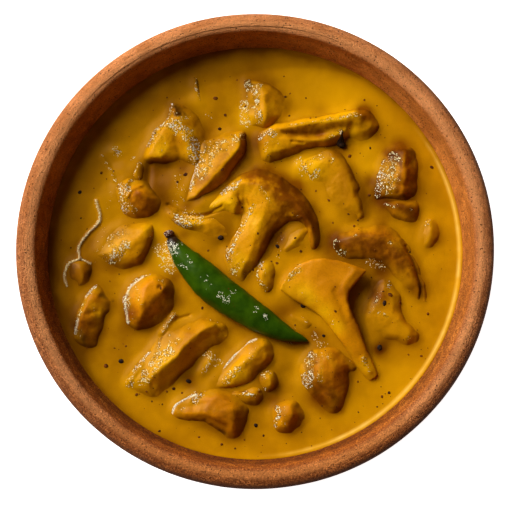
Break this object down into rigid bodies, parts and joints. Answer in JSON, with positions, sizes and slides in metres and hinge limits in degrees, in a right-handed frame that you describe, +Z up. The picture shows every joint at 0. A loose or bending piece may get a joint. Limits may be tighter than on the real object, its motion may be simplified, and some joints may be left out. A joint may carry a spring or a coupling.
{
  "type": "mushroom curry in a clay bowl",
  "caption": "Round unglazed clay bowl of thick yellow curry with cut mushrooms half sunk in the sauce and a whole green chilli lying across the middle.",
  "frame": {"origin": "centre of the bowl's foot, on the surface it stands on", "axes": "+Z up; seen from above +X is right and +Y is away, as the dish is shown"},
  "size_m": [0.1678, 0.1678, 0.06],
  "materials": {
    "clay": "unglazed, matt and fine-grained",
    "curry": "thick smooth glossy yellow sauce",
    "mushroom_flesh": "wet cut mushroom, stained golden by the sauce",
    "mushroom_brown": "wet browned mushroom",
    "chilli_skin": "smooth glossy dark green skin",
    "chilli_stalk": "dry dark brown stalk end"
  },
  "bodies": {
    "root": {"bowl": "clay", "chilli_stalk": "chilli_stalk", "curry_sauce": "curry", "green_chilli": "chilli_skin", "mushroom_arch_east": "mushroom_brown", "mushroom_arch_small": "mushroom_brown", "mushroom_bit_centre": "mushroom_flesh", "mushroom_bit_east": "mushroom_flesh", "mushroom_bit_far_east": "mushroom_flesh", "mushroom_bit_west": "mushroom_flesh", "mushroom_button_east": "mushroom_flesh", "mushroom_button_west": "mushroom_flesh", "mushroom_cap_small": "mushroom_flesh", "mushroom_chunk_east": "mushroom_flesh", "mushroom_chunk_south": "mushroom_flesh", "mushroom_chunk_top": "mushroom_flesh", "mushroom_chunk_west": "mushroom_flesh", "mushroom_fan": "mushroom_flesh", "mushroom_flat_north": "mushroom_flesh", "mushroom_flat_top": "mushroom_flesh", "mushroom_fold_north": "mushroom_flesh", "mushroom_fold_south": "mushroom_flesh", "mushroom_lip_south": "mushroom_flesh", "mushroom_lump_centre": "mushroom_flesh", "mushroom_lump_east": "mushroom_flesh", "mushroom_nub_south": "mushroom_flesh", "mushroom_roll_north": "mushroom_flesh", "mushroom_slab_centre": "mushroom_flesh", "mushroom_slab_long": "mushroom_flesh", "mushroom_slab_west": "mushroom_flesh", "mushroom_slice_long": "mushroom_flesh", "mushroom_sliver_top": "mushroom_flesh", "mushroom_sunk_east": "mushroom_flesh", "mushroom_sunk_west": "mushroom_flesh", "mushroom_wedge_south": "mushroom_flesh", "mushroom_whole": "mushroom_flesh"}
  },
  "joints": []
}
